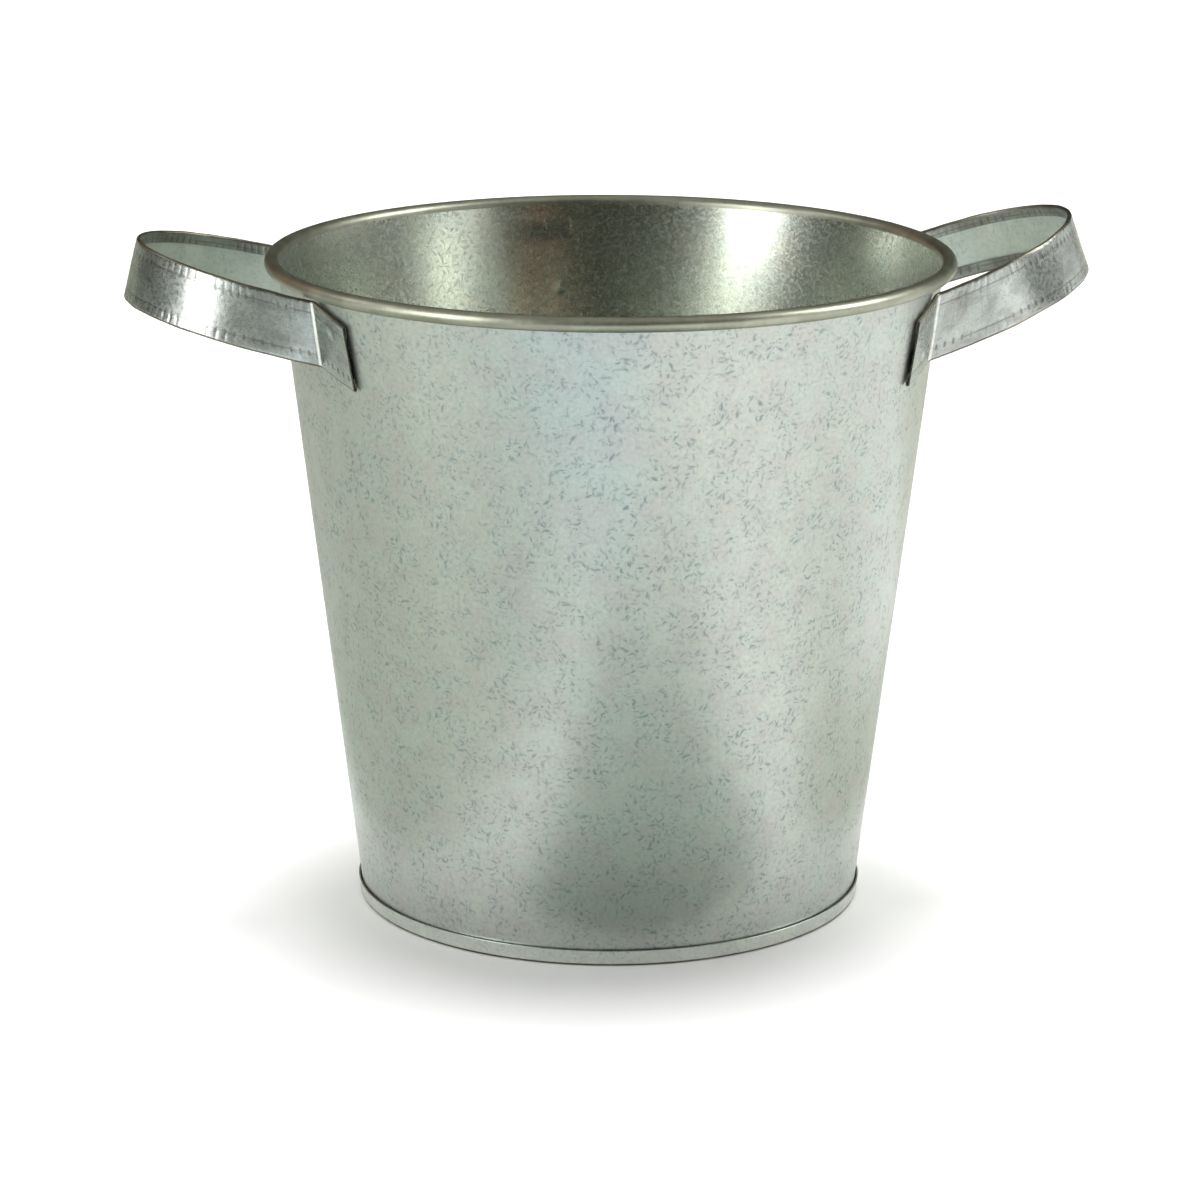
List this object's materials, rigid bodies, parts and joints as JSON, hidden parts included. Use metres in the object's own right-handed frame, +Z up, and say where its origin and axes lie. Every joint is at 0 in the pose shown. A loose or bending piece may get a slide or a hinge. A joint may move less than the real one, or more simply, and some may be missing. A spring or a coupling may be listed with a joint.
{
  "type": "florist bucket",
  "caption": "Tapered galvanised steel bucket with a rolled rim, a seamed base and a hemmed strap handle loop on each side.",
  "frame": {"origin": "centre of the base, on the floor that the bucket stands on", "axes": "+Z up along the bucket's axis, +X and -X through the two handles, the lapped seam of the wall at +Y"},
  "size_m": [0.2807, 0.2, 0.2022],
  "materials": {
    "galvanised_sheet": "galvanised, fine spangle, satin",
    "galvanised_pan": "galvanised, fine spangle, satin",
    "steel_wire": "plain drawn wire",
    "galvanised_strap": "galvanised, smooth, semi-bright"
  },
  "bodies": {
    "root": {"body_shell": "galvanised_sheet", "bottom_pan": "galvanised_pan", "rim_wire": "steel_wire", "handle_left": "galvanised_strap", "handle_right": "galvanised_strap"}
  },
  "joints": []
}
